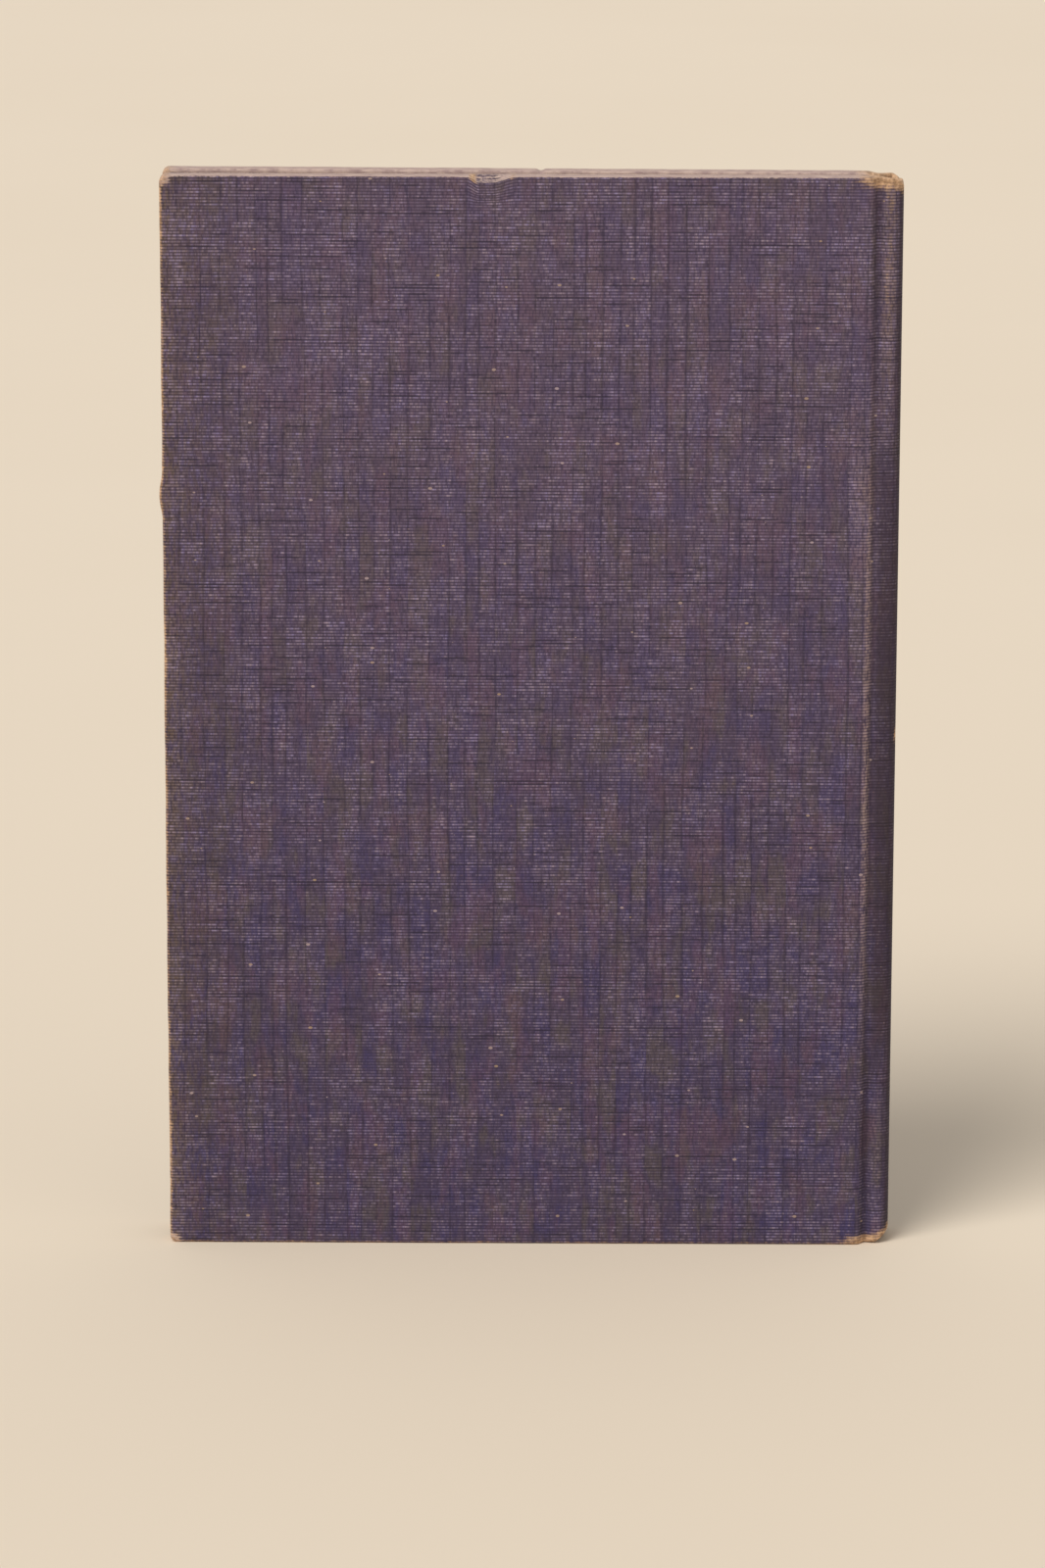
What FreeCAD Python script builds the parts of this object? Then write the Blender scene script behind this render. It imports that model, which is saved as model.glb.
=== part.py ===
import FreeCAD, Part
import os
import Sketcher

# Hardback book, thin, cloth case over boards, standing on its tail edges.
# X runs from the fore edge to the spine, Y from the back cover to the front
# cover, Z from tail to head. The origin is under the middle of the book.
# Everything is in millimetres.

doc = FreeCAD.newDocument("HardbackBook")
sheet = doc.addObject("Spreadsheet::Sheet", "Sizes")


# Driving dimensions
SIZES = {
    # Covers, over the cloth
    "cover_height": 190.0,
    "cover_width": 127.0,
    "board_thickness": 2.8,
    "cloth_thickness": 0.35,
    "turn_in_width": 15.0,
    "corner_round": 1.2,
    "edge_round": 0.45,
    # Pages and endpapers
    "pages_thickness": 4.2,
    "paper_thickness": 0.2,
    "square_width": 3.0,
    # Spine and joints, measured in from the spine's outer face
    "board_setback": 6.3,
    "joint_setback": 4.5,
    "shoulder_reach": 2.9,
    "shoulder_drop": 0.9,
    "shoulder_round": 1.8,
    "joint_floor": 0.4,
    # Linings between the pages and the spine
    "inlay_thickness": 1.0,
    "hollow_gap": 0.3,
    "lining_thickness": 0.3,
    "lining_end_gap": 8.0,
    "mull_thickness": 0.25,
    "mull_end_gap": 20.0,
    "mull_wing_width": 25.0,
    # Crushed place in the back cover's head edge
    "dent_from_fore_edge": 56.8,
    "dent_length": 8.0,
    "dent_drop": 1.1,
    "dent_depth": 2.4,
    # How far a cutting form runs past the piece it cuts
    "overrun": 1.0,
}
for row, (word, length) in enumerate(SIZES.items(), start=1):
    sheet.set(f"A{row}", word)
    sheet.set(f"B{row}", str(length))
    sheet.setAlias(f"B{row}", word)
doc.recompute()

# Stations along X
SPINE_X = "(Sizes.cover_width / 2)"
FORE_X = "(-Sizes.cover_width / 2)"
PAGE_FORE_X = f"({FORE_X} + Sizes.square_width)"
TURN_IN_X = f"({FORE_X} + Sizes.turn_in_width)"
BOARD_FORE_X = f"({FORE_X} + Sizes.cloth_thickness)"
BOARD_END_X = f"({SPINE_X} - Sizes.board_setback)"
HINGE_X = f"({SPINE_X} - Sizes.joint_setback)"
CREST_X = f"({SPINE_X} - Sizes.shoulder_reach)"
INLAY_OUT_X = f"({SPINE_X} - Sizes.cloth_thickness)"
INLAY_IN_X = f"({INLAY_OUT_X} - Sizes.inlay_thickness)"
SPINE_TURN_IN_X = f"({INLAY_IN_X} - Sizes.cloth_thickness)"
LINING_OUT_X = f"({SPINE_TURN_IN_X} - Sizes.hollow_gap)"
MULL_OUT_X = f"({LINING_OUT_X} - Sizes.lining_thickness)"
PAGE_SPINE_X = f"({MULL_OUT_X} - Sizes.mull_thickness)"
MULL_WING_X = f"({BOARD_END_X} - Sizes.mull_wing_width)"
DENT_X = f"({FORE_X} + Sizes.dent_from_fore_edge)"

# Levels out from the middle of the pages, the same on both sides
LEAF_Y = "(Sizes.pages_thickness / 2)"
PASTEDOWN_Y = f"({LEAF_Y} + Sizes.paper_thickness)"
TURN_IN_Y = f"({PASTEDOWN_Y} + Sizes.paper_thickness)"
BOARD_IN_Y = f"({TURN_IN_Y} + Sizes.cloth_thickness)"
BOARD_OUT_Y = f"({BOARD_IN_Y} + Sizes.board_thickness)"
COVER_Y = f"({BOARD_OUT_Y} + Sizes.cloth_thickness)"
JOINT_Y = f"({BOARD_IN_Y} + Sizes.cloth_thickness)"
RIDGE_Y = f"({COVER_Y} - Sizes.shoulder_drop)"
RIDGE_IN_Y = f"({RIDGE_Y} - Sizes.cloth_thickness)"
MULL_IN_Y = f"({BOARD_IN_Y} - Sizes.mull_thickness)"

# Heights
TAIL_Z = "0"
HEAD_Z = "Sizes.cover_height"
BOARD_TAIL_Z = "Sizes.cloth_thickness"
BOARD_HEAD_Z = f"({HEAD_Z} - Sizes.cloth_thickness)"
PAGE_TAIL_Z = "Sizes.square_width"
PAGE_HEAD_Z = f"({HEAD_Z} - Sizes.square_width)"
TURN_IN_TAIL_Z = "Sizes.turn_in_width"
TURN_IN_HEAD_Z = f"({HEAD_Z} - Sizes.turn_in_width)"

BACK = -1
FRONT = 1


def amount(expression):
    """The number that an expression on the sheet comes to."""
    return float(sheet.evalExpression(expression))


def same(first, second):
    """Whether two lengths agree to a thousandth of a millimetre."""
    return round(first - second, 3) == 0


def level(side, expression):
    """A level out from the pages, on the back side or the front side."""
    return f"({side} * {expression})"


def between(side, inner, outer):
    """The low and high end of a span between two levels on one side."""
    if side == BACK:
        return level(side, outer), level(side, inner)
    return inner, outer


def both_sides(expression):
    """The span from a level on the back side to the same on the front side."""
    return level(BACK, expression), expression


def slab(name, span_x, span_y, span_z):
    """A flat piece with square edges, between named stations."""
    box = doc.addObject("Part::Box", name)
    lengths = zip(("Length", "Width", "Height"), "xyz", (span_x, span_y, span_z))
    for length, axis, (low, high) in lengths:
        box.setExpression(length, f"{high} - {low}")
        box.setExpression(f"Placement.Base.{axis}", low)
    doc.recompute()
    return box


def origin_plane(body, role):
    """One of a body's own origin planes."""
    return next(plane for plane in body.Origin.OriginFeatures if plane.Role == role)


def outline(body, name, role, corners):
    """A closed sketch on an origin plane, with straight sides between corners."""
    sketch = body.newObject("Sketcher::SketchObject", name)
    sketch.AttachmentSupport = (origin_plane(body, role), [""])
    sketch.MapMode = "FlatFace"
    points = [FreeCAD.Vector(amount(across), amount(up), 0) for across, up in corners]
    count = len(points)
    for index in range(count):
        following = (index + 1) % count
        sketch.addGeometry(Part.LineSegment(points[index], points[following]))
    for index in range(count):
        following = (index + 1) % count
        sketch.addConstraint(Sketcher.Constraint("Coincident", index, 2, following, 1))
    for index, corner in enumerate(corners):
        for kind, start, expression in zip(("DistanceX", "DistanceY"), points[index], corner):
            number = sketch.addConstraint(Sketcher.Constraint(kind, -1, 1, index, 1, start))
            sketch.setExpression(f"Constraints[{number}]", expression)
    doc.recompute()
    return sketch


def column(name, corners, tail, head):
    """A body padded up from its outline, between two heights."""
    body = doc.addObject("PartDesign::Body", name)
    sketch = outline(body, name + "_outline", "XY_Plane", corners)
    pad = body.newObject("PartDesign::Pad", name + "_pad")
    pad.Profile = sketch
    pad.setExpression("Length", f"{head} - {tail}")
    body.setExpression("Placement.Base.z", tail)
    doc.recompute()
    return body


def round_edges(body, name, wanted, radius):
    """Round the edges of a body that the test picks, by a radius from the sheet."""
    tip = body.Tip
    picked = []
    for number, edge in enumerate(tip.Shape.Edges, start=1):
        if wanted(edge):
            picked.append(f"Edge{number}")
    fillet = body.newObject("PartDesign::Fillet", name)
    fillet.Base = (tip, picked)
    fillet.setExpression("Radius", radius)
    body.Tip = fillet
    doc.recompute()
    return fillet


def runs_along(edge, axis):
    """Whether an edge is straight and runs along one axis."""
    first, last = edge.Vertexes[0].Point, edge.Vertexes[-1].Point
    run = last - first
    straight = edge.Curve.TypeId == "Part::GeomLine"
    return straight and all(same(run[other], 0) for other in range(3) if other != axis)


def crush_head_edge(body, side, outer, top, extra):
    """Press the dent into the head edge of a cover form or its board."""
    sketch = outline(body, body.Name + "_dent_outline", "YZ_Plane", [
        (level(side, outer), f"{top} - Sizes.dent_drop"),
        (level(side, f"({outer} + Sizes.overrun)"), f"{top} - Sizes.dent_drop"),
        (level(side, f"({outer} + Sizes.overrun)"), f"{top} + Sizes.overrun"),
        (level(side, f"({outer} - Sizes.dent_depth)"), f"{top} + Sizes.overrun"),
        (level(side, f"({outer} - Sizes.dent_depth)"), top),
    ])
    sketch.setExpression("AttachmentOffset.Base.z", DENT_X)
    before = body.Tip.Shape.Volume
    pocket = body.newObject("PartDesign::Pocket", body.Name + "_dent")
    pocket.Profile = sketch
    pocket.Midplane = True
    pocket.setExpression("Length", f"Sizes.dent_length + 2 * {extra}")
    body.Tip = pocket
    doc.recompute()
    if not pocket.Shape.Volume < before:
        raise ValueError(body.Name + ": the dent cuts nothing")


def cut(name, base, tools):
    """A piece that is a form less what takes its place inside it."""
    if len(tools) > 1:
        joined = doc.addObject("Part::MultiFuse", name + "_tools")
        joined.Shapes = tools
    else:
        joined = tools[0]
    piece = doc.addObject("Part::Cut", name)
    piece.Base = base
    piece.Tool = joined
    doc.recompute()
    return piece


def common(name, first, second):
    """The part that two forms share."""
    piece = doc.addObject("Part::MultiCommon", name)
    piece.Shapes = [first, second]
    doc.recompute()
    return piece


def page_block():
    """All the leaves, sewn into one block with a flat back."""
    return slab("page_block", (PAGE_FORE_X, PAGE_SPINE_X), both_sides(LEAF_Y),
                (PAGE_TAIL_Z, PAGE_HEAD_Z))


def flyleaf(name, side):
    """The free half of a folded endpaper, with its fold at the joint."""
    return column(name, [
        (PAGE_FORE_X, level(side, LEAF_Y)),
        (PAGE_SPINE_X, level(side, LEAF_Y)),
        (PAGE_SPINE_X, level(side, MULL_IN_Y)),
        (HINGE_X, level(side, MULL_IN_Y)),
        (HINGE_X, level(side, PASTEDOWN_Y)),
        (PAGE_FORE_X, level(side, PASTEDOWN_Y)),
    ], PAGE_TAIL_Z, PAGE_HEAD_Z)


def spine_mull():
    """Open gauze round the back of the pages, as far as the two joints."""
    return column("spine_mull", [
        (HINGE_X, BOARD_IN_Y),
        (MULL_OUT_X, BOARD_IN_Y),
        (MULL_OUT_X, level(BACK, BOARD_IN_Y)),
        (HINGE_X, level(BACK, BOARD_IN_Y)),
        (HINGE_X, level(BACK, MULL_IN_Y)),
        (PAGE_SPINE_X, level(BACK, MULL_IN_Y)),
        (PAGE_SPINE_X, MULL_IN_Y),
        (HINGE_X, MULL_IN_Y),
    ], "Sizes.mull_end_gap", f"({HEAD_Z} - Sizes.mull_end_gap)")


def spine_lining():
    """Paper strip glued over the gauze on the back of the pages."""
    return slab("spine_lining", (MULL_OUT_X, LINING_OUT_X), both_sides(BOARD_IN_Y),
                ("Sizes.lining_end_gap", f"({HEAD_Z} - Sizes.lining_end_gap)"))


def spine_form(name, hinge_y, floor_end, crest, ridge, back, tail, head, radius):
    """The spine's section: two joint floors, two shoulders and a flat back."""
    body = column(name, [
        (HINGE_X, hinge_y),
        (floor_end, hinge_y),
        (crest, ridge),
        (back, ridge),
        (back, level(BACK, ridge)),
        (crest, level(BACK, ridge)),
        (floor_end, level(BACK, hinge_y)),
        (HINGE_X, level(BACK, hinge_y)),
    ], tail, head)
    back_station = amount(back)

    def on_back(edge):
        return runs_along(edge, 2) and same(edge.Vertexes[0].X, back_station)

    round_edges(body, name + "_shoulders", on_back, radius)
    return body


def spine_pieces():
    """The card strip in the spine and the cloth folded over it."""
    floor_end = f"({HINGE_X} + Sizes.joint_floor)"
    outer = spine_form("spine_outer_form", JOINT_Y, floor_end, CREST_X, RIDGE_Y, SPINE_X,
                       TAIL_Z, HEAD_Z, "Sizes.shoulder_round")
    half_cloth = "Sizes.cloth_thickness / 2"
    inner = spine_form("spine_inner_form", BOARD_IN_Y, f"({floor_end} + {half_cloth})",
                       f"({CREST_X} + {half_cloth})", RIDGE_IN_Y, INLAY_OUT_X,
                       "(-Sizes.overrun)", f"({HEAD_Z} + Sizes.overrun)",
                       "Sizes.shoulder_round - Sizes.cloth_thickness")
    card = slab("spine_card_form", (INLAY_IN_X, INLAY_OUT_X), both_sides(RIDGE_IN_Y),
                (BOARD_TAIL_Z, BOARD_HEAD_Z))
    inlay = common("spine_inlay", card, inner)

    past_tail = "(-Sizes.overrun)"
    past_head = f"({HEAD_Z} + Sizes.overrun)"
    whole_room = slab("spine_room_whole", (HINGE_X, SPINE_TURN_IN_X), both_sides(RIDGE_IN_Y),
                      (past_tail, past_head))
    middle_room = slab("spine_room_middle", (HINGE_X, INLAY_IN_X), both_sides(RIDGE_IN_Y),
                       (TURN_IN_TAIL_Z, TURN_IN_HEAD_Z))
    room = doc.addObject("Part::MultiFuse", "spine_room")
    room.Shapes = [whole_room, middle_room]
    hollow = common("spine_hollow", room, inner)
    cloth = cut("spine_cloth", outer, [hollow, inlay])
    return [inlay, cloth]


def board(name, side):
    """One cover board, with its two fore corners rounded."""
    body = column(name, [
        (BOARD_FORE_X, level(side, BOARD_IN_Y)),
        (BOARD_END_X, level(side, BOARD_IN_Y)),
        (BOARD_END_X, level(side, BOARD_OUT_Y)),
        (BOARD_FORE_X, level(side, BOARD_OUT_Y)),
    ], BOARD_TAIL_Z, BOARD_HEAD_Z)
    fore = amount(BOARD_FORE_X)

    def at_fore_corner(edge):
        return runs_along(edge, 1) and same(edge.Vertexes[0].X, fore)

    round_edges(body, name + "_corners", at_fore_corner,
                "Sizes.corner_round - Sizes.cloth_thickness")
    return body


def cover_form(name, side):
    """The outside of a covered board with its half of the joint."""
    body = column(name, [
        (FORE_X, level(side, TURN_IN_Y)),
        (HINGE_X, level(side, TURN_IN_Y)),
        (HINGE_X, level(side, JOINT_Y)),
        (f"({HINGE_X} - Sizes.joint_floor)", level(side, JOINT_Y)),
        (f"({BOARD_END_X} + Sizes.cloth_thickness)", level(side, COVER_Y)),
        (FORE_X, level(side, COVER_Y)),
    ], TAIL_Z, HEAD_Z)
    fore = amount(FORE_X)
    outside = amount(level(side, COVER_Y))

    def at_fore_corner(edge):
        return runs_along(edge, 1) and same(edge.Vertexes[0].X, fore)

    def on_outer_face(edge):
        return all(same(point.Y, outside) for point in edge.Vertexes)

    round_edges(body, name + "_corners", at_fore_corner, "Sizes.corner_round")
    round_edges(body, name + "_edges", on_outer_face, "Sizes.edge_round")
    return body


def cover_pieces(side_name, side):
    """A board, the cloth folded over it, the gauze wing and the pastedown."""
    covered = cover_form(side_name + "_cover_form", side)
    stiff = board(side_name + "_board", side)
    if side == BACK:
        crush_head_edge(covered, side, COVER_Y, HEAD_Z, "0")
        crush_head_edge(stiff, side, BOARD_OUT_Y, f"({BOARD_HEAD_Z} - {BOARD_TAIL_Z})",
                        "Sizes.cloth_thickness")

    # No cloth on the inner face inside the turn-ins
    window = slab(side_name + "_window", (TURN_IN_X, f"({HINGE_X} + Sizes.overrun)"),
                  between(side, f"({TURN_IN_Y} - Sizes.overrun)", BOARD_IN_Y),
                  (TURN_IN_TAIL_Z, TURN_IN_HEAD_Z))
    # Hollow under the cloth where it slopes down past the board's edge
    joint_hollow = column(side_name + "_joint_hollow", [
        (BOARD_END_X, level(side, BOARD_IN_Y)),
        (f"({HINGE_X} - Sizes.joint_floor - Sizes.cloth_thickness)", level(side, BOARD_IN_Y)),
        (BOARD_END_X, level(side, BOARD_OUT_Y)),
    ], BOARD_TAIL_Z, BOARD_HEAD_Z)
    cloth = cut(side_name + "_cover_cloth", covered, [stiff, window, joint_hollow])

    wing = slab(side_name + "_mull_wing", (MULL_WING_X, HINGE_X),
                between(side, MULL_IN_Y, BOARD_IN_Y),
                ("Sizes.mull_end_gap", f"({HEAD_Z} - Sizes.mull_end_gap)"))

    sheet_form = slab(side_name + "_pastedown_form", (PAGE_FORE_X, HINGE_X),
                      between(side, PASTEDOWN_Y, BOARD_IN_Y), (PAGE_TAIL_Z, PAGE_HEAD_Z))
    # The sheet sinks between the turn-ins and the gauze wing
    sunk_fore = f"({TURN_IN_X} + Sizes.paper_thickness)"
    sunk_spine = f"({MULL_WING_X} - Sizes.paper_thickness)"
    sunk = slab(side_name + "_sunk_form", (sunk_fore, sunk_spine),
                between(side, f"({PASTEDOWN_Y} - Sizes.overrun)",
                        f"({BOARD_IN_Y} - Sizes.paper_thickness)"),
                (f"({TURN_IN_TAIL_Z} + Sizes.paper_thickness)",
                 f"({TURN_IN_HEAD_Z} - Sizes.paper_thickness)"))
    pastedown = cut(side_name + "_pastedown", sheet_form, [cloth, wing, sunk])
    return [stiff, cloth, wing, pastedown]


pieces = [page_block(), flyleaf("back_flyleaf", BACK), flyleaf("front_flyleaf", FRONT),
          spine_mull(), spine_lining()]
pieces += spine_pieces()
pieces += cover_pieces("back", BACK)
pieces += cover_pieces("front", FRONT)

doc.recompute()
for item in doc.Objects:
    if "Invalid" in item.State or "Error" in item.State:
        raise ValueError(item.Label + ": failed to build")
for piece in pieces:
    if piece.Shape.isNull() or not piece.Shape.isValid():
        raise ValueError(piece.Label + ": no valid shape")

os.makedirs("parts", exist_ok=True)
for piece in pieces:
    piece.Shape.exportStep(f"parts/{piece.Label}.step")
    print(piece.Label, len(piece.Shape.Solids), round(piece.Shape.Volume, 2))
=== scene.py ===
"""Looks of a thin hardback book in worn ribbed cloth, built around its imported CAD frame.

Lengths are in millimetres here and become metres where a mesh is made.
"""

import math

import bpy
import numpy as np
from mathutils import Matrix, Vector, noise


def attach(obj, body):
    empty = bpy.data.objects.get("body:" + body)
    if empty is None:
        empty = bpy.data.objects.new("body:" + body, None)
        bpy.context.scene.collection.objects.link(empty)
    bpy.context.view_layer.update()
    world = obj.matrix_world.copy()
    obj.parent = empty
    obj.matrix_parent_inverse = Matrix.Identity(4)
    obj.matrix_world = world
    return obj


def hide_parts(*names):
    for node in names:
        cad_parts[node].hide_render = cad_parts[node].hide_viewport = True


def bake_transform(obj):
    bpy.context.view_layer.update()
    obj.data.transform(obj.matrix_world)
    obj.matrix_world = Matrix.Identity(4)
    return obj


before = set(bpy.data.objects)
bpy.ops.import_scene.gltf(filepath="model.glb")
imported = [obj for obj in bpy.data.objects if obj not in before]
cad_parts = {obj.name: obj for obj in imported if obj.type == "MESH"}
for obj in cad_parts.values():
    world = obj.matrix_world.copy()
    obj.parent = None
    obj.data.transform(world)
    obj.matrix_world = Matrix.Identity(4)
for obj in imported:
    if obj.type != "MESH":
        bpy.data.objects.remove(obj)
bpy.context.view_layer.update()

MM = 0.001
BACK = -1
FRONT = 1
NAME_OF_SIDE = {BACK: "back", FRONT: "front"}

# Sizes of the book, as in the CAD part
HEIGHT = 190.0
FORE_X = -63.5
SPINE_X = 63.5
COVER_Y = 6.0
COVER_INNER_Y = 2.5
CLOTH = 0.35
TURN_IN = 15.0
CORNER_ROUND = 1.2
EDGE_ROUND = 0.5
BOARD_END_X = 57.2
HINGE_X = 59.0
RIDGE_Y = 5.1
SPINE_TURN_X = 61.8
CARD_IN_X = 62.15
CARD_OUT_X = 63.15
PAGE_FORE_X = -60.5
PAGE_SPINE_X = 60.95
PAGE_TAIL = 3.0
PAGE_HEAD = 187.0
PAGE_Y = 2.1
LEAF_Y = 2.3
LEAF_COUNT = 40
MULL_START_X = 32.2
MULL_TAIL = 20.0
MULL_HEAD = 170.0

# The joint as the old cloth lies in it: it has lifted off the floor of the groove
JOINT_START_X = 57.2
CREST_X = 58.05
CREASE_X = 59.2
GROOVE_AT_ENDS = 1.55
GROOVE_AT_MIDDLE = 1.05
SHOULDER_ROUND = 1.8
JOINT_STEPS = 48

# How the cloth's mesh is laid out
FINE_STEP = 0.19
CORNER_COLUMNS = 12
TURN_PIVOT_X = 20.0

# Where the endpaper and the gauze are cut finer at a joint, from here to the spine
BEND_COVER_X = 58.0

# Damage and wear
DENT_FROM = -11.0
DENT_TO = -2.4
DENT_DROP = 1.0
DENT_DEPTH = 2.6
BUMP_Z = 134.4
BUMP_HALF = 4.2
BUMP_OUT = 0.55
FRONT_DROP = 0.47
NICK_X = 1.5
NICK_HALF = 0.9
NICK_DROP = 0.3
SPINE_SPECK_Z = 92.5

# Pattern of the cloth
RIB_PITCH = 0.535
COLUMN_WIDTH = 3.0
GAUZE_PITCH = 1.1


# Small helpers for numbers

def smooth(low, high, value):
    """0 below low, 1 above high, and a soft step between."""
    t = np.clip((value - low) / (high - low), 0.0, 1.0)
    return t * t * (3.0 - 2.0 * t)


def fade(low, high, value):
    """1 below low, 0 above high, and a soft step between."""
    return 1.0 - smooth(low, high, value)


def hump(centre, half, value):
    """1 at the centre, falling softly to 0 at half away from it."""
    t = np.clip(1.0 - ((value - centre) / half) ** 2, 0.0, 1.0)
    return t * t


def most(*fields):
    """The largest of several fields at each point."""
    return np.maximum.reduce(fields)


def wave(points, scale, seed):
    """Smooth noise between about -1 and 1 at each point, with features of about that scale."""
    shift = Vector((seed * 17.3, seed * 5.1, seed * 9.7))
    return np.array([noise.noise(Vector(point) / scale + shift) for point in points])


def stations(start, end, fine, coarse, reach, centres):
    """Places from start to end, close together near the centres."""
    found = [start]
    while found[-1] < end:
        near = min(abs(found[-1] - centre) for centre in centres)
        found.append(found[-1] + fine + (coarse - fine) * min(1.0, near / reach))
    found = np.array(found)
    return start + (found - start) * (end - start) / (found[-1] - start)


def resample(points, steps):
    """A line through the points, cut into equal steps along its first two numbers."""
    points = np.array(points, float)
    along = np.concatenate([[0.0], np.cumsum(np.hypot(*np.diff(points[:, :2], axis=0).T))])
    places = np.linspace(0.0, along[-1], steps)
    return np.array([np.interp(places, along, column) for column in points.T]).T


def soften(points, passes):
    """The line with its corners rounded, its ends kept."""
    points = points.copy()
    for _ in range(passes):
        points[1:-1] = 0.25 * points[:-2] + 0.5 * points[1:-1] + 0.25 * points[2:]
    return points


# Small helpers for meshes

def place_object(name, data):
    """A new object of that data in the scene."""
    made = bpy.data.objects.new(name, data)
    bpy.context.scene.collection.objects.link(made)
    return made


def mesh_piece(name, points, faces, uv=None, masks=None, material=None):
    """A mesh object from points in millimetres, with a UV map in metres and named masks."""
    mesh = bpy.data.meshes.new(name)
    mesh.from_pydata((np.array(points) * MM).tolist(), [], faces)
    if uv is not None:
        layer = mesh.uv_layers.new(name="UVMap")
        loops = np.zeros(len(mesh.loops), int)
        mesh.loops.foreach_get("vertex_index", loops)
        layer.data.foreach_set("uv", (np.array(uv)[loops] * MM).astype(np.float32).ravel())
    for label, values in (masks or {}).items():
        attribute = mesh.attributes.new(label, "FLOAT", "POINT")
        attribute.data.foreach_set("value", np.array(values, np.float32))
    mesh.shade_smooth()
    if material is not None:
        mesh.materials.append(material)
    return place_object(name, mesh)


def bake_modifiers(piece):
    """The piece with its modifiers made part of its mesh."""
    graph = bpy.context.evaluated_depsgraph_get()
    made = bpy.data.meshes.new_from_object(piece.evaluated_get(graph), depsgraph=graph)
    piece.modifiers.clear()
    old = piece.data
    piece.data = made
    bpy.data.meshes.remove(old)
    made.name = piece.name
    return piece


def thicken(piece, thickness):
    """The open sheet with its thickness, inwards."""
    wall = piece.modifiers.new("thickness", "SOLIDIFY")
    wall.thickness = thickness * MM
    wall.offset = -1.0
    wall.use_even_offset = False
    return bake_modifiers(piece)


# Small helpers for node trees

class Tree:
    """Builds one node tree: nodes by kind, with values or other nodes' outputs put in."""

    def __init__(self, tree):
        self.tree = tree

    def node(self, kind, **settings):
        made = self.tree.nodes.new(kind)
        for key, value in settings.items():
            setattr(made, key, value)
        return made

    def put(self, value, socket):
        if isinstance(value, bpy.types.NodeSocket):
            self.tree.links.new(value, socket)
        else:
            socket.default_value = value

    def add(self, kind, settings=None, **values):
        """The outputs of a new node with the values in the inputs of those names."""
        node = self.node(kind, **(settings or {}))
        for key, value in values.items():
            self.put(value, node.inputs[key.replace("_", " ")])
        return node.outputs

    def made(self, kind, *values, **settings):
        """The outputs of a new node with the values in its first inputs."""
        node = self.node(kind, **settings)
        for value, socket in zip(values, node.inputs):
            self.put(value, socket)
        return node.outputs

    def math(self, operation, *values, clamp=False):
        return self.made("ShaderNodeMath", *values, operation=operation, use_clamp=clamp)[0]

    def times(self, first, second, clamp=False):
        return self.math("MULTIPLY", first, second, clamp=clamp)

    def plus(self, first, second):
        return self.math("ADD", first, second)

    def minus(self, first, second):
        return self.math("SUBTRACT", first, second)

    def line(self, value, slope, base):
        """The value times a slope, plus a base."""
        return self.math("MULTIPLY_ADD", value, slope, base)

    def scaled(self, place, scales):
        return self.made("ShaderNodeVectorMath", place, scales, operation="MULTIPLY")[0]

    def noise(self, vector, scale, detail=2.0, rough=0.5):
        kind = "ShaderNodeTexNoise"
        return self.add(kind, Vector=vector, Scale=scale, Detail=detail, Roughness=rough)[0]

    def step(self, value, low, high):
        """0 below low, 1 above high, and a soft step between."""
        kind = "ShaderNodeMapRange"
        return self.made(kind, value, low, high, interpolation_type="SMOOTHSTEP")[0]

    def mix(self, factor, first, second):
        made = self.node("ShaderNodeMix", data_type="RGBA")
        self.put(factor, made.inputs[0])
        self.put(first, made.inputs[6])
        self.put(second, made.inputs[7])
        return made.outputs[2]

    def over(self, colour, new, field, share):
        """The new colour laid over the old one, by a field times a share."""
        return self.mix(self.times(field, share), colour, new)

    def parts(self, vector):
        return self.made("ShaderNodeSeparateXYZ", vector)

    def join(self, x, y, z=0.0):
        return self.made("ShaderNodeCombineXYZ", x, y, z)[0]

    def streaks(self, x, x_scale, y, y_scale, lot=0.0, detail=2.0, rough=0.5):
        """Noise with a scale of its own in each direction."""
        place = self.join(self.times(x, x_scale), self.times(y, y_scale), lot)
        return self.noise(place, 1.0, detail, rough)

    def use(self, group, **values):
        return self.add("ShaderNodeGroup", {"node_tree": group}, **values)

    def mask(self, label):
        return self.node("ShaderNodeAttribute", attribute_name=label).outputs["Fac"]

    def object_place(self):
        """The place in the book, in millimetres."""
        return self.scaled(self.node("ShaderNodeTexCoord").outputs["Object"], (1000.0,) * 3)


def rgb(red, green, blue):
    """A colour as a screen shows it, 0 to 255, made linear."""
    def linear(level):
        share = level / 255.0
        return share / 12.92 if share <= 0.04045 else ((share + 0.055) / 1.055) ** 2.4
    return (linear(red), linear(green), linear(blue), 1.0)


# Colours of the cloth
DYE_COOL = rgb(71, 60, 89)
DYE_WARM = rgb(76, 63, 84)
DYE_VIOLET = rgb(62, 55, 98)
DYE_OLIVE = rgb(92, 82, 66)
DYE_MAUVE = rgb(106, 74, 90)
FADED = rgb(121, 100, 114)
HANDLED_BROWN = rgb(84, 68, 56)
THREAD_COOL = rgb(144, 131, 172)
THREAD_WARM = rgb(167, 147, 159)
GAP_DARK = rgb(46, 38, 58)
YARN_DARK = rgb(54, 44, 64)
LINE_DARK = rgb(38, 31, 48)
RUBBED = rgb(196, 168, 156)
# Painted shade for the joint's groove and the spine's rounding
PAINTED_SHADE = rgb(50, 38, 45)
SPECK_PINK = rgb(196, 174, 176)
SPECK_YELLOW = rgb(186, 156, 116)
# Pale threads at the edges, at the head partly painted light
PALE_DEEP = rgb(168, 142, 136)
PALE_LIGHT = rgb(206, 180, 166)
TAN_DEEP = rgb(148, 116, 86)
TAN_LIGHT = rgb(216, 176, 138)


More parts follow.
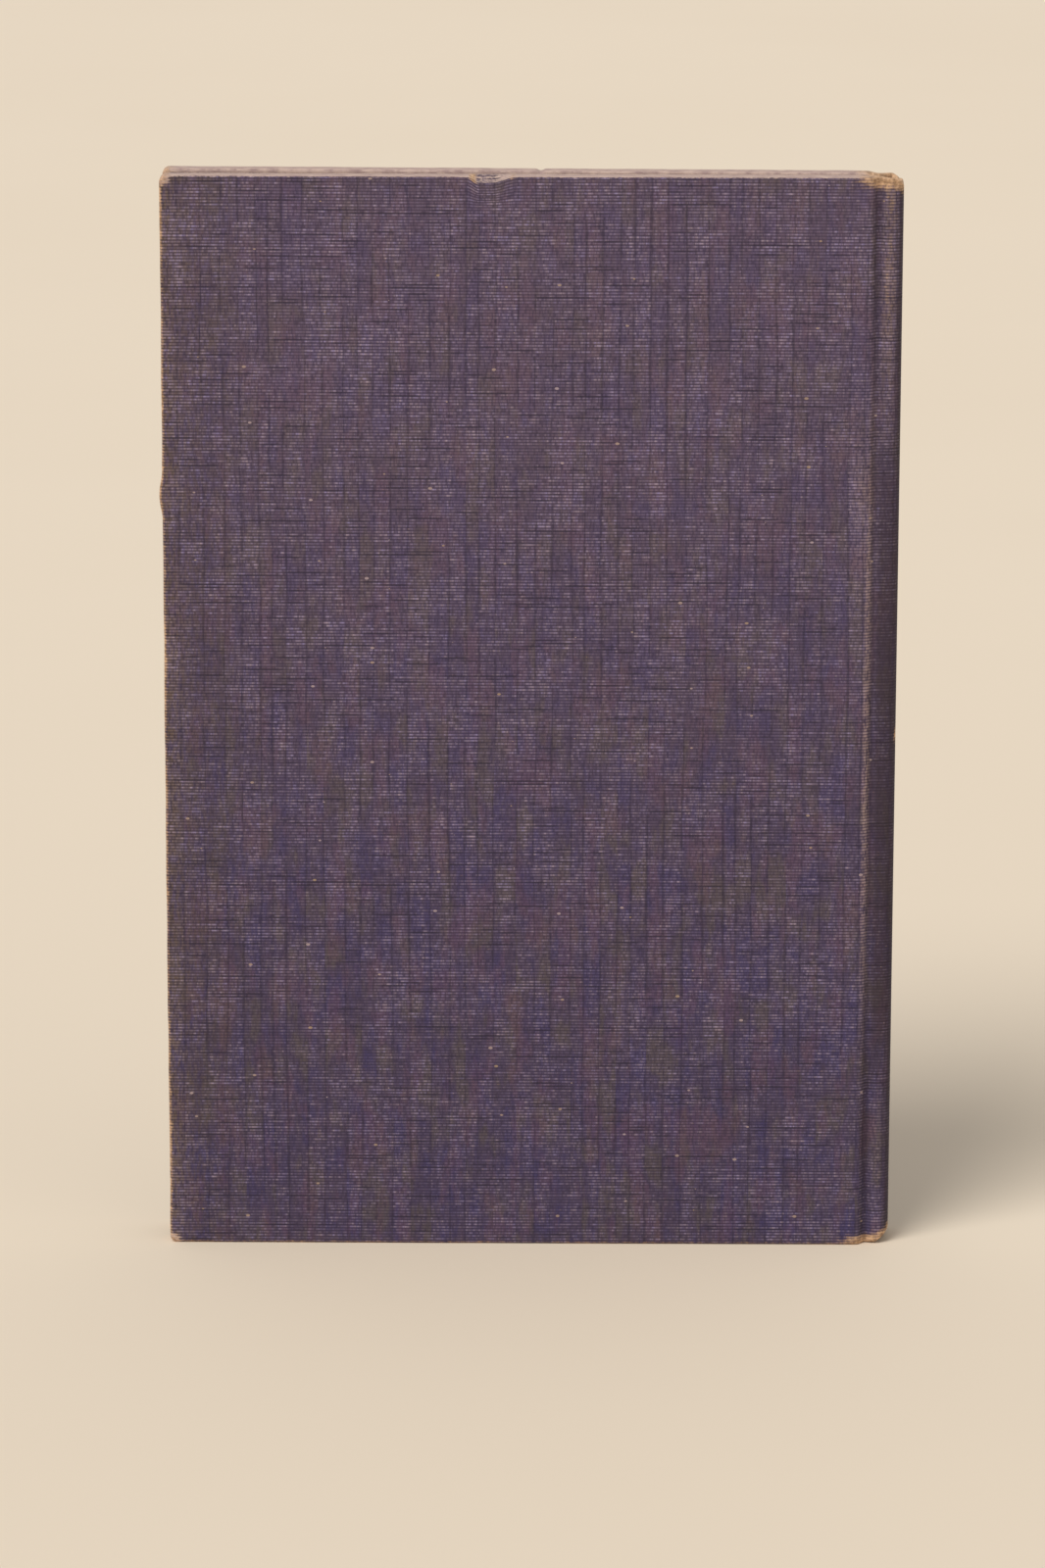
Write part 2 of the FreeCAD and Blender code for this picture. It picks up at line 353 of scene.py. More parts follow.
def effect_group(name, inputs, outputs):
    """An empty shader group: inputs with a first value are numbers, the others are places."""
    group = bpy.data.node_groups.new(name, "ShaderNodeTree")
    for label, value in inputs.items():
        kind = "NodeSocketVector" if value is None else "NodeSocketFloat"
        socket = group.interface.new_socket(name=label, in_out="INPUT", socket_type=kind)
        if value is not None:
            socket.default_value = value
    for label in outputs:
        group.interface.new_socket(name=label, in_out="OUTPUT", socket_type="NodeSocketFloat")
    tree = Tree(group)
    return tree, tree.node("NodeGroupInput").outputs, tree.node("NodeGroupOutput").inputs


# Effects that several materials share

def one_way_cells(tree, along, scale, feature):
    """Cells of uneven width along one direction."""
    settings = {"voronoi_dimensions": "1D", "feature": feature}
    return tree.add("ShaderNodeTexVoronoi", settings, W=along, Scale=scale, Randomness=1.0)


def rib_rows(tree, place, y, pitch):
    """The ribs as a wave from 0 to 1, with the number of the rib and of the gap at each place."""
    drift = tree.times(tree.noise(place, 0.02, 1.0), 0.6)
    lines = tree.plus(tree.math("DIVIDE", y, pitch), drift)
    rib = tree.line(tree.math("COSINE", tree.times(lines, 2.0 * math.pi)), 0.5, 0.5)
    row = tree.math("FLOOR", tree.plus(lines, 0.5))
    gap = tree.math("FLOOR", lines)
    return rib, row, gap


def lit_threads(tree, x, y, across, lot, row):
    """How light each thread is: by column, by streak, by rib and along the rib."""
    block = tree.noise(tree.join(lot, tree.times(y, 0.07)), 1.0, 2.0, 0.6)
    streak = tree.streaks(across, 0.9, y, 0.06, 4.0)
    by_column = tree.plus(tree.times(block, 0.55), tree.times(streak, 0.45))
    by_column = tree.line(tree.step(by_column, 0.40, 0.60), 0.70, 0.30)
    dash = tree.streaks(x, 1.5, row, 5.37, 0.0, 3.0, 0.65)
    dash = tree.line(tree.step(dash, 0.36, 0.66), 0.80, 0.20)
    by_row = tree.streaks(x, 0.2, row, 3.71, 9.0)
    by_row = tree.line(tree.step(by_row, 0.38, 0.62), 0.90, 0.38)
    return tree.times(tree.times(by_column, dash), by_row)


def dark_lines(tree, x, y, rib, gap, column_edge, lot):
    """Thin dark lines between some columns and in place of some gaps."""
    column_run = tree.noise(tree.join(lot, tree.times(y, 0.06)), 1.0, 1.0)
    column_line = tree.times(tree.step(column_edge, 0.12, 0.03), tree.step(column_run, 0.40, 0.58))
    row_run = tree.streaks(x, 0.085, gap, 5.71, 6.0, 1.0)
    row_line = tree.times(tree.step(rib, 0.95, 0.40), tree.step(row_run, 0.60, 0.68))
    return tree.math("MAXIMUM", tree.times(column_line, 0.66), tree.times(row_line, 0.80))


def column_tint(tree, x, y, across, lot):
    """A field that tints the columns, half by column and half freely."""
    own_place = tree.join(tree.plus(lot, tree.times(x, 0.06)), tree.times(y, 0.07), 3.0)
    own = tree.noise(own_place, 1.0, 2.0, 0.55)
    free = tree.streaks(across, 0.34, y, 0.10, 8.0, 2.0, 0.55)
    return tree.plus(tree.times(own, 0.5), tree.times(free, 0.5))


def make_weave_group():
    """Ribbed cloth from a place in millimetres: ribs, yarn columns, thin dark lines both ways."""
    inputs = {"Place": None, "Pitch": 0.5, "Column": 3.0}
    outputs = ("Rib", "Lit", "Lines", "Yarn", "Tint")
    tree, given, out = effect_group("ribbed_weave", inputs, outputs)
    x, y, _ = tree.parts(given["Place"])
    rib, row, gap = rib_rows(tree, given["Place"], y, given["Pitch"])
    across = tree.plus(x, tree.times(tree.streaks(x, 0.05, y, 0.02, 2.0), 1.5))
    scale = tree.math("DIVIDE", 1.0, given["Column"])
    column = tree.parts(one_way_cells(tree, across, scale, "F1")["Color"])
    column_edge = one_way_cells(tree, across, scale, "DISTANCE_TO_EDGE")["Distance"]
    lot = tree.times(column[0], 41.0)
    other_lot = tree.times(column[1], 67.0)
    along = tree.streaks(x, 2.9, y, 0.5)
    dots = tree.streaks(x, 2.3, row, 3.17, 5.0, 1.0)
    tree.put(rib, out["Rib"])
    tree.put(lit_threads(tree, x, y, across, lot, row), out["Lit"])
    tree.put(dark_lines(tree, x, y, rib, gap, column_edge, other_lot), out["Lines"])
    tree.put(tree.plus(tree.times(along, 0.5), tree.times(dots, 0.5)), out["Yarn"])
    tree.put(column_tint(tree, x, y, across, other_lot), out["Tint"])
    return tree.tree


def make_mottle_group():
    """Two sizes of soft cloudy patches."""
    inputs = {"Place": None, "Size": 10.0}
    tree, given, out = effect_group("mottle", inputs, ("Large", "Small"))
    scale = tree.math("DIVIDE", 1.0, given["Size"])
    tree.put(tree.step(tree.noise(given["Place"], scale, 3.0, 0.55), 0.3, 0.7), out["Large"])
    fine = tree.times(scale, 6.0)
    tree.put(tree.step(tree.noise(given["Place"], fine, 2.0, 0.6), 0.3, 0.7), out["Small"])
    return tree.tree


def make_worn_group():
    """A ragged mask from a smooth amount of wear, as threads break one by one."""
    inputs = {"Amount": 0.0, "Place": None, "Grain": 1.0, "Ragged": 1.4, "Soft": 0.12}
    tree, given, out = effect_group("ragged_wear", inputs, ("Mask",))
    grain = tree.minus(tree.noise(given["Place"], given["Grain"], 4.0, 0.65), 0.5)
    raised = tree.plus(given["Amount"], tree.times(grain, given["Ragged"]))
    low = tree.minus(0.48, given["Soft"])
    high = tree.plus(0.48, given["Soft"])
    tree.put(tree.step(raised, low, high), out["Mask"])
    return tree.tree


def make_fibre_group():
    """Short pressed fibres and specks, as in paper and millboard."""
    inputs = {"Place": None, "Length": 2.0}
    tree, given, out = effect_group("pressed_fibre", inputs, ("Fibre", "Speck"))
    fine = tree.math("DIVIDE", 6.0, given["Length"])
    place = given["Place"]
    bend = tree.add("ShaderNodeTexNoise", Vector=place, Scale=fine, Detail=2.0, Distortion=1.8)
    specks = tree.add("ShaderNodeTexVoronoi", {"feature": "F1"}, Vector=place, Scale=0.35)
    tree.put(bend[0], out["Fibre"])
    tree.put(tree.step(specks["Distance"], 0.16, 0.10), out["Speck"])
    return tree.tree


WEAVE = make_weave_group()
MOTTLE = make_mottle_group()
WORN = make_worn_group()
FIBRE = make_fibre_group()


# Materials

class Material(Tree):
    """A material's node tree, with the ends that all materials share."""

    def __init__(self, name):
        self.material = bpy.data.materials.new(name)
        self.material.use_nodes = True
        super().__init__(self.material.node_tree)
        self.shader = self.tree.nodes["Principled BSDF"].inputs

    def finish(self, colour, rough, height, strength, distance):
        """Colour, roughness and bump into the shader. The distance is in millimetres."""
        bump = self.add("ShaderNodeBump", Height=height, Strength=strength, Distance=distance * MM)
        self.put(colour, self.shader["Base Color"])
        self.put(rough, self.shader["Roughness"])
        self.put(bump[0], self.shader["Normal"])
        return self.material


def pressed_material(name, length, cloud_size):
    """A new material with its place, its pressed fibres and its clouds."""
    tree = Material(name)
    place = tree.object_place()
    fibre = tree.use(FIBRE, Place=place, Length=length)
    return tree, place, fibre, tree.use(MOTTLE, Place=place, Size=cloud_size)


def cloth_ground(tree, place, weave, patches, fading):
    """The dyed ground: tinted column by column, faded towards the head, brown where handled."""
    clouds = tree.use(MOTTLE, Place=place, Size=30.0)
    colour = tree.mix(clouds["Large"], DYE_COOL, DYE_WARM)
    colour = tree.over(colour, DYE_VIOLET, tree.step(weave["Tint"], 0.50, 0.40), 0.72)
    colour = tree.over(colour, DYE_OLIVE, tree.step(weave["Tint"], 0.51, 0.60), 0.52)
    colour = tree.over(colour, DYE_MAUVE, tree.step(patches["Large"], 0.45, 0.95), 0.42)
    colour = tree.over(colour, FADED, fading, 0.36)
    uneven = tree.step(patches["Small"], -0.3, 1.0)
    return tree.over(colour, HANDLED_BROWN, tree.mask("handled"), uneven)


def cloth_threads(tree, colour, weave, patches, fading, thread):
    """Light threads on the ribs, dark gaps, uneven yarns and thin dark lines."""
    thread_colour = tree.mix(patches["Small"], THREAD_COOL, THREAD_WARM)
    lighter_high = tree.line(fading, 0.20, 0.77)
    colour = tree.over(colour, thread_colour, thread, lighter_high)
    colour = tree.over(colour, GAP_DARK, tree.minus(1.0, weave["Rib"]), 0.42)
    colour = tree.over(colour, YARN_DARK, tree.step(weave["Yarn"], 0.54, 0.38), 0.5)
    return tree.over(colour, LINE_DARK, weave["Lines"], 0.66)


def cloth_rubbing_and_shade(tree, colour, weave):
    """Rubbed threads, then painted shade in the grooves and roundings."""
    on_thread = tree.line(weave["Rib"], 0.85, 0.25)
    on_thread = tree.times(on_thread, tree.step(weave["Yarn"], 0.32, 0.60))
    rubbed = tree.times(tree.mask("rubbed"), on_thread, clamp=True)
    colour = tree.mix(rubbed, colour, RUBBED)
    # Painted shade in the groove, on the spine's rounding and on its side away from the light
    return tree.over(colour, PAINTED_SHADE, tree.mask("painted_shade"), 0.85)


def cloth_specks(tree, colour, place):
    """A few small light specks, each of its own size and tone."""
    settings = {"voronoi_dimensions": "2D", "feature": "F1"}
    place = tree.scaled(place, (0.62, 1.0, 1.0))
    specks = tree.add("ShaderNodeTexVoronoi", settings, Vector=place, Scale=0.15)
    lot = tree.parts(specks["Color"])
    size = tree.times(tree.step(lot[0], 0.40, 1.0), 0.034)
    speck = tree.math("LESS_THAN", specks["Distance"], size)
    return tree.over(colour, tree.mix(lot[1], SPECK_PINK, SPECK_YELLOW), speck, 0.55)


def cloth_edges(tree, colour, place, weave):
    """Worn edges: pale threads, at the head partly painted light, and tan where the dye is gone."""
    raised_thread = tree.times(tree.minus(weave["Rib"], 0.5), 0.22)
    lengthwise = tree.scaled(place, (0.4, 2.2, 1.0))
    pale_tone = tree.step(tree.noise(lengthwise, 1.0, 3.0, 0.6), 0.34, 0.62)
    pale_amount = tree.plus(tree.mask("pale"), raised_thread)
    pale = tree.use(WORN, Amount=pale_amount, Place=place, Grain=1.4, Ragged=1.0, Soft=0.14)["Mask"]
    colour = tree.over(colour, tree.mix(pale_tone, PALE_DEEP, PALE_LIGHT), pale, 0.9)
    tan_tone = tree.step(tree.noise(place, 0.9, 3.0, 0.65), 0.34, 0.62)
    tan_amount = tree.plus(tree.mask("tan"), raised_thread)
    tan = tree.use(WORN, Amount=tan_amount, Place=place, Grain=1.2, Ragged=1.0, Soft=0.32)["Mask"]
    return tree.over(colour, tree.mix(tan_tone, TAN_DEEP, TAN_LIGHT), tan, 0.95)


def make_cloth_material():
    """Faded purple ribbed book cloth, worn to pale threads at the edges and to tan at the corners,
    with painted light on the head edges and painted shade in the joint and on the spine's rounding.
    """
    tree = Material("worn_ribbed_cloth")
    uv_map = tree.node("ShaderNodeUVMap", uv_map="UVMap")
    place = tree.scaled(uv_map.outputs[0], (1000.0,) * 3)
    weave = tree.use(WEAVE, Place=place, Pitch=RIB_PITCH, Column=COLUMN_WIDTH)
    patches = tree.use(MOTTLE, Place=tree.scaled(place, (2.0, 0.6, 1.0)), Size=8.0)
    fading = tree.step(tree.parts(place)[1], 10.0, HEIGHT)
    thread = tree.times(weave["Rib"], weave["Lit"])
    colour = cloth_ground(tree, place, weave, patches, fading)
    colour = cloth_threads(tree, colour, weave, patches, fading, thread)
    colour = cloth_rubbing_and_shade(tree, colour, weave)
    colour = cloth_specks(tree, colour, place)
    colour = cloth_edges(tree, colour, place, weave)
    tree.shader["Sheen Weight"].default_value = 0.05
    tree.shader["Specular IOR Level"].default_value = 0.3
    raised = tree.times(weave["Rib"], tree.line(weave["Lit"], 0.5, 0.5))
    rough = tree.minus(0.93, tree.times(thread, 0.12))
    return tree.finish(colour, rough, tree.minus(raised, weave["Lines"]), 0.45, 0.07)


def make_paper_material(name, fresh, aged, edge_soil):
    """Aged paper with pressed fibres, a few specks and browner margins."""
    tree, place, fibre, clouds = pressed_material(name, 2.0, 38.0)
    colour = tree.mix(clouds["Large"], fresh, aged)
    colour = tree.over(colour, rgb(226, 214, 190), fibre["Fibre"], 0.25)
    colour = tree.over(colour, rgb(150, 116, 78), fibre["Speck"], 0.25)
    x, _, z = tree.parts(place)
    high = tree.step(tree.math("ABSOLUTE", tree.minus(z, HEIGHT / 2)), 70.0, 92.0)
    wide = tree.step(tree.math("ABSOLUTE", x), 40.0, 61.0)
    margin = tree.times(tree.math("MAXIMUM", high, wide), edge_soil)
    colour = tree.mix(margin, colour, rgb(168, 138, 98))
    rough = tree.plus(0.78, tree.times(fibre["Fibre"], 0.15))
    return tree.finish(colour, rough, fibre["Fibre"], 0.35, 0.02)


def make_leaf_material():
    """Page paper: each leaf has its own tone."""
    tree, _, fibre, clouds = pressed_material("page_paper", 1.6, 30.0)
    colour = tree.mix(tree.mask("leaf_tone"), rgb(230, 216, 192), rgb(206, 186, 154))
    colour = tree.over(colour, rgb(214, 190, 156), clouds["Large"], 0.30)
    colour = tree.over(colour, rgb(146, 108, 70), fibre["Speck"], 0.3)
    rough = tree.plus(0.8, tree.times(fibre["Fibre"], 0.12))
    return tree.finish(colour, rough, fibre["Fibre"], 0.3, 0.02)


def make_board_material(name, pale, dark):
    """Grey-brown pressed board."""
    tree, _, fibre, clouds = pressed_material(name, 1.0, 9.0)
    colour = tree.mix(clouds["Small"], pale, dark)
    colour = tree.over(colour, rgb(74, 58, 44), fibre["Speck"], 0.6)
    rough = tree.plus(0.85, tree.times(fibre["Fibre"], 0.1))
    return tree.finish(colour, rough, fibre["Fibre"], 0.6, 0.05)


def make_gauze_material():
    """Coarse open gauze, stiff with old glue."""
    tree = Material("glued_gauze")
    place = tree.object_place()
    x, y, z = tree.parts(place)
    across = tree.plus(x, y)
    pitch = 2.0 * math.pi / GAUZE_PITCH
    warp = tree.math("COSINE", tree.times(across, pitch))
    weft = tree.math("COSINE", tree.times(z, pitch))
    thread = tree.step(tree.math("MAXIMUM", warp, weft), 0.1, 0.6)
    clouds = tree.use(MOTTLE, Place=place, Size=12.0)
    colour = tree.mix(clouds["Large"], rgb(214, 202, 176), rgb(190, 168, 128))
    colour = tree.mix(thread, rgb(140, 110, 74), colour)
    rough = tree.minus(0.9, tree.times(clouds["Small"], 0.2))
    return tree.finish(colour, rough, thread, 0.6, 0.08)


CLOTH_MATERIAL = make_cloth_material()
ENDPAPER = make_paper_material("endpaper", rgb(229, 211, 188), rgb(212, 192, 164), 0.45)
LINING = make_paper_material("brown_lining_paper", rgb(168, 140, 104), rgb(150, 120, 84), 0.2)
LEAVES = make_leaf_material()
BOARD = make_board_material("millboard", rgb(168, 146, 116), rgb(130, 108, 82))
SPINE_CARD = make_board_material("spine_card", rgb(176, 156, 126), rgb(146, 124, 96))
GAUZE = make_gauze_material()


# The case cloth: one half for each cover, met at the middle of the spine

def joint_line(floor, ridge):
    """Outer and inner line of the cloth from the board's end to the spine's middle.

    Each row is outer x, outer y, inner x, inner y, with y counted from the middle of the book.
    """
    inner_ridge = RIDGE_Y - 0.7
    line = [
        (JOINT_START_X, COVER_Y, JOINT_START_X, COVER_INNER_Y),
        (CREST_X, COVER_Y, CREST_X, COVER_INNER_Y),
        (CREASE_X - 0.3, floor + 0.25, CREASE_X - 0.3, COVER_INNER_Y),
        (CREASE_X, floor, CREASE_X, COVER_INNER_Y),
        (CREASE_X + 0.4, floor + 0.15, CREASE_X + 0.7, COVER_INNER_Y + 0.2),
        (CREASE_X + 1.2, ridge, CREASE_X + 2.0, inner_ridge),
        (SPINE_X - SHOULDER_ROUND, ridge, SPINE_TURN_X - 0.1, inner_ridge),
        (SPINE_X - 0.55, ridge - 0.5, SPINE_TURN_X, inner_ridge - 0.5),
        (SPINE_X, ridge - SHOULDER_ROUND, SPINE_TURN_X, ridge - SHOULDER_ROUND),
        (SPINE_X, 0.0, SPINE_TURN_X, 0.0),
    ]
    return soften(resample(line, JOINT_STEPS), 5)


def case_section():
    """The case's line at its ends and at mid height, from the fore edge to the spine's middle."""
    ends = (FORE_X, DENT_FROM, DENT_FROM + 2.0, DENT_TO, NICK_X, JOINT_START_X)
    flat_x = stations(FORE_X + EDGE_ROUND, JOINT_START_X, FINE_STEP, 2.0, 22.0, ends)
    flat = [(x, COVER_Y, x, COVER_INNER_Y) for x in flat_x[:-1]]
    deep = np.concatenate([flat, joint_line(COVER_Y - GROOVE_AT_ENDS, RIDGE_Y)])
    shallow = np.concatenate([flat, joint_line(COVER_Y - GROOVE_AT_MIDDLE, RIDGE_Y - 0.1)])
    return deep, shallow


def corner_rise(x, y, reach, rise, least):
    """How far the worn end of the spine rises towards its rounded shoulder."""
    t = np.clip((x - (SPINE_X - reach)) / reach, 0.0, 1.0) * 0.985
    on_shoulder = smooth(-0.5, 4.2, y)
    return rise * (1.0 - np.sqrt(1.0 - t * t)) * (least + (1.0 - least) * on_shoulder)


def cloth_levels(side, x, y):
    """Tail and head level of the cloth at each place of the case. The front cover sits askew."""
    joint = smooth(BOARD_END_X, HINGE_X + 1.5, x)
    tail = 0.1 * joint + corner_rise(x, y, 4.2, 3.1, 0.3)
    head = HEIGHT - 0.25 * joint - corner_rise(x, y, 1.8, 1.6, 0.5)
    if side == FRONT:
        toward_spine = np.clip((x - FORE_X) / (SPINE_X - FORE_X), 0.0, 1.0)
        head = head - FRONT_DROP * toward_spine * smooth(0.0, 2.4, y)
    return tail, head


def round_corner(x, z, centre_x, centre_z, toward_z):
    """Moves points near a fore corner onto its round, and tells which way is outwards there."""
    reach = CORNER_ROUND - EDGE_ROUND
    over_x = np.maximum(0.0, centre_x - x)
    over_z = np.maximum(0.0, (z - centre_z) * toward_z)
    longest = np.maximum(over_x, over_z)
    length = np.hypot(over_x, over_z)
    inside = (over_x > 0) & (over_z > 0) & (longest <= reach + 1e-6)
    shrink = np.where(inside, longest / np.maximum(length, 1e-9), 1.0)
    new_x = np.where(inside, centre_x - over_x * shrink, x)
    new_z = np.where(inside, centre_z + over_z * shrink * toward_z, z)
    return new_x, new_z, inside, over_x / np.maximum(length, 1e-9), over_z / np.maximum(length, 1e-9)


def face_grid(side, deep, shallow, rows):
    """The face of one half of the case: outer x and y, inner x and y, and z, by column and row."""
    share = (rows - rows[0]) / (rows[-1] - rows[0])
    middle = smooth(0.04, 0.30, share) * fade(0.72, 0.97, share)
    lines = deep[:, None, :] + (shallow - deep)[:, None, :] * middle[None, :, None]
    tail, head = cloth_levels(side, deep[:, 0], deep[:, 1])
    low = (tail + EDGE_ROUND)[:, None]
    high = (head - EDGE_ROUND)[:, None]
    return lines, low + (high - low) * share[None, :]


def grid_faces(columns, rows, flip):
    """Quads over a grid whose points run row by row within each column."""
    faces = []
    for column in range(columns - 1):
        for row in range(rows - 1):
            first = column * rows + row
            quad = (first, first + rows, first + rows + 1, first + 1)
            faces.append(quad[::-1] if flip else quad)
    return faces


def rim_order(columns, rows):
    """Grid indices along the tail edge, up the fore edge and back along the head edge."""
    tail = [column * rows for column in range(columns - 1, 0, -1)]
    fore = list(range(rows))
    head = [column * rows + rows - 1 for column in range(1, columns)]
    return np.array(tail + fore + head)


def rim_profile(thickness):
    """Steps of the fold round an edge: how far out of the rim, how deep and how far round."""
    radius = np.minimum(EDGE_ROUND, 0.49 * thickness)
    spare = EDGE_ROUND - radius
    steps = []
    for degrees in (22.5, 45.0, 67.5, 90.0):
        angle = math.radians(degrees)
        steps.append((spare + radius * math.sin(angle), radius * (1.0 - math.cos(angle))))
    for share in (0.33, 0.67):
        steps.append((spare + radius, radius + share * (thickness - 2.0 * radius)))
    for degrees in (90.0, 112.5, 135.0, 157.5, 180.0):
        angle = math.radians(degrees)
        steps.append((spare + radius * math.sin(angle), thickness - radius * (1.0 + math.cos(angle))))
    return steps


def dent_across(x):
    """The dent along the head edge: steep on the fore side, slow towards the spine."""
    return smooth(DENT_FROM, DENT_FROM + 2.0, x) * fade(DENT_TO - 4.4, DENT_TO, x)


def dent_amount(x, depth):
    """How far the crushed head edge of the back cover sinks, in millimetres."""
    return DENT_DROP * dent_across(x) * fade(0.4 * DENT_DEPTH, DENT_DEPTH, depth)


def case_face(side):
    """The outer face of one half of the case: its columns and rows, its grid and its inner line.

    The grid holds x, y, z, the cloth's own u and v, and the way outwards along x and z.
    """
    deep, shallow = case_section()
    ends = (0.0, BUMP_Z, HEIGHT)
    rows = stations(EDGE_ROUND, HEIGHT - EDGE_ROUND, FINE_STEP, 2.3, 30.0, ends)
    lines, z = face_grid(side, deep, shallow, rows)
    x, y = lines[:, :, 0], lines[:, :, 1]
    along = np.concatenate([[0.0], np.cumsum(np.hypot(*np.diff(deep[:, :2], axis=0).T))])
    u = np.repeat((along[-1] - along)[:, None], len(rows), axis=1)
    v = z.copy()
    out_x = np.zeros_like(x)
    out_z = np.zeros_like(x)
    out_z[:, 0] = -1.0
    out_z[:, -1] = 1.0
    out_x[0, 1:-1] = -1.0
    for toward in (-1.0, 1.0):
        centre_z = CORNER_ROUND if toward < 0 else HEIGHT - CORNER_ROUND
        x, z, inside, share_x, share_z = round_corner(x, z, FORE_X + CORNER_ROUND, centre_z, toward)
        out_x = np.where(inside, -share_x, out_x)
        out_z = np.where(inside, share_z * toward, out_z)
    grid = np.array([values.ravel() for values in (x, y, z, u, v, out_x, out_z)])
    return len(deep), len(rows), grid, lines.reshape(-1, 4)[:, 2:4]


def fold_rings(edge, inner, column):
    """Rings of x, y, z, u, v and depth: the cloth's fold round the edges and in over the board."""
    x, y, z, u, v, out_x, out_z = edge
    reach_x = np.where(column < CORNER_COLUMNS, 0.0, inner[:, 0] - x)
    reach_y = inner[:, 1] - y
    thickness = np.hypot(reach_x, reach_y)
    depth_x, depth_y = reach_x / thickness, reach_y / thickness
    rings = []
    for out, depth in rim_profile(thickness):
        way = out + depth
        across = x + out_x * out + depth_x * depth
        own_place = (u - out_x * way, v + out_z * way)
        rings.append(np.array([across, y + depth_y * depth, z + out_z * out, *own_place, depth]))
    pull_x = np.clip((TURN_PIVOT_X - x) / (TURN_PIVOT_X - FORE_X), 0.0, 1.0)
    pull_z = (z - HEIGHT / 2) / (HEIGHT / 2)
    for inset in (1.5, 3.2, 8.0, TURN_IN - EDGE_ROUND):
        way = thickness + inset
        across = x + reach_x + inset * pull_x
        own_place = (u - out_x * way, v + out_z * way)
        rings.append(np.array([across, y + reach_y, z - inset * pull_z, *own_place, thickness]))
    return rings


def ring_faces(rim, base, rings, flip):
    """Quads from the rim of the face to each ring that follows it."""
    faces = []
    previous = rim
    for number in range(rings):
        current = base + number * len(rim) + np.arange(len(rim))
        for i in range(len(rim) - 1):
            quad = (int(previous[i + 1]), int(current[i + 1]), int(current[i]), int(previous[i]))
            faces.append(quad[::-1] if flip else quad)
        previous = current
    return faces


def build_case_half(side):
    """Cloth over one cover, across its joint and round to the middle of the spine."""
    columns, rows, grid, inner = case_face(side)
    rim = rim_order(columns, rows)
    rings = fold_rings(grid[:, rim], inner[rim], rim // rows)
    face = np.concatenate([grid[:5], np.zeros((1, columns * rows))])
    x, y, z, u, v, depth = np.concatenate([face] + rings, axis=1)
    faces = grid_faces(columns, rows, side == FRONT)
    faces += ring_faces(rim, columns * rows, len(rings), side == FRONT)
    masks = cloth_masks(side, x, y, z, depth)
    x, y, z = age_cloth(side, x, y, z, depth)
    points = np.array([x, y * side, z]).T
    uv = np.array([u * -side, v]).T
    piece = mesh_piece(NAME_OF_SIDE[side] + "_case_cloth", points, faces, uv, masks, CLOTH_MATERIAL)
    return thicken(piece, CLOTH)


def age_cloth(side, x, y, z, depth):
    """Small unevenness of an old cover, the bump at the fore edge and the crushed spot."""
    places = np.array([x, np.full_like(x, side * 40.0), z]).T
    face = smooth(COVER_INNER_Y + 2.0, COVER_Y - 0.2, y)
    y = y + face * 0.07 * wave(places, 55.0, 3)
    near_fore = fade(FORE_X + 0.6, FORE_X + 3.0, x)
    x = x + near_fore * 0.10 * wave(places, 6.0, 4)
    near_head = smooth(HEIGHT - 2.0, HEIGHT - 0.4, z)
    near_tail = fade(0.4, 2.0, z)
    z = z + (near_head + near_tail) * 0.06 * wave(places, 5.0, 5)
    if side == BACK:
        x = x - near_fore * BUMP_OUT * hump(BUMP_Z, BUMP_HALF, z)
        z = z - dent_amount(x, depth) * smooth(HEIGHT - 6.0, HEIGHT - 0.6, z)
    else:
        z = z - NICK_DROP * hump(NICK_X, NICK_HALF, x) * smooth(HEIGHT - 2.5, HEIGHT - 0.6, z)
    return x, y, z


class Places:
    """The points of the case with their distances from its edges, and two noises over it."""

    def __init__(self, side, x, y, z):
        tail, head = cloth_levels(side, x, np.abs(y))
        self.side, self.x, self.y, self.z = side, x, y, z
        self.from_head = head - z
        self.from_tail = z - tail
        self.from_fore = x - FORE_X
        self.near_end = np.minimum(self.from_head, self.from_tail)
        self.from_corner = np.hypot(self.from_fore, self.near_end)
        points = np.array([x, y * side * 3.0, z]).T
        self.uneven = 0.5 + 0.5 * wave(points, 9.0, 8)
        self.long_uneven = 0.5 + 0.5 * wave(points, 34.0, 9)


def pale_mask(at, fore_wear):
    """Broken pale threads along the head and tail, at the corners and in the nick; at the head partly
    painted light from above.
    """
    # Painted light: on the inner face the pale head band reaches further down, lightening the shade
    # in the gap between the covers.
    inside = smooth(COVER_Y - 2.2, COVER_Y - 3.3, at.y)
    if at.side == FRONT:
        inside = inside * (0.68 + 0.32 * smooth(-33.0, 8.0, at.x))
    head_wear_and_light = 0.85 * fade(0.02 + 0.55 * inside, 0.32 + 0.75 * inside, at.from_head)
    tail_wear = (0.15 + 0.4 * at.uneven) * fade(0.05, 0.5, at.from_tail)
    corner = 0.92 * fade(0.5, 3.2, at.from_corner)
    pale = most(head_wear_and_light, tail_wear, 0.6 * fore_wear, corner)
    if at.side == BACK:
        return pale * (1.0 - 0.45 * dent_across(at.x))
    return most(pale, hump(NICK_X, 1.6, at.x) * fade(0.7, 1.4, at.from_head))


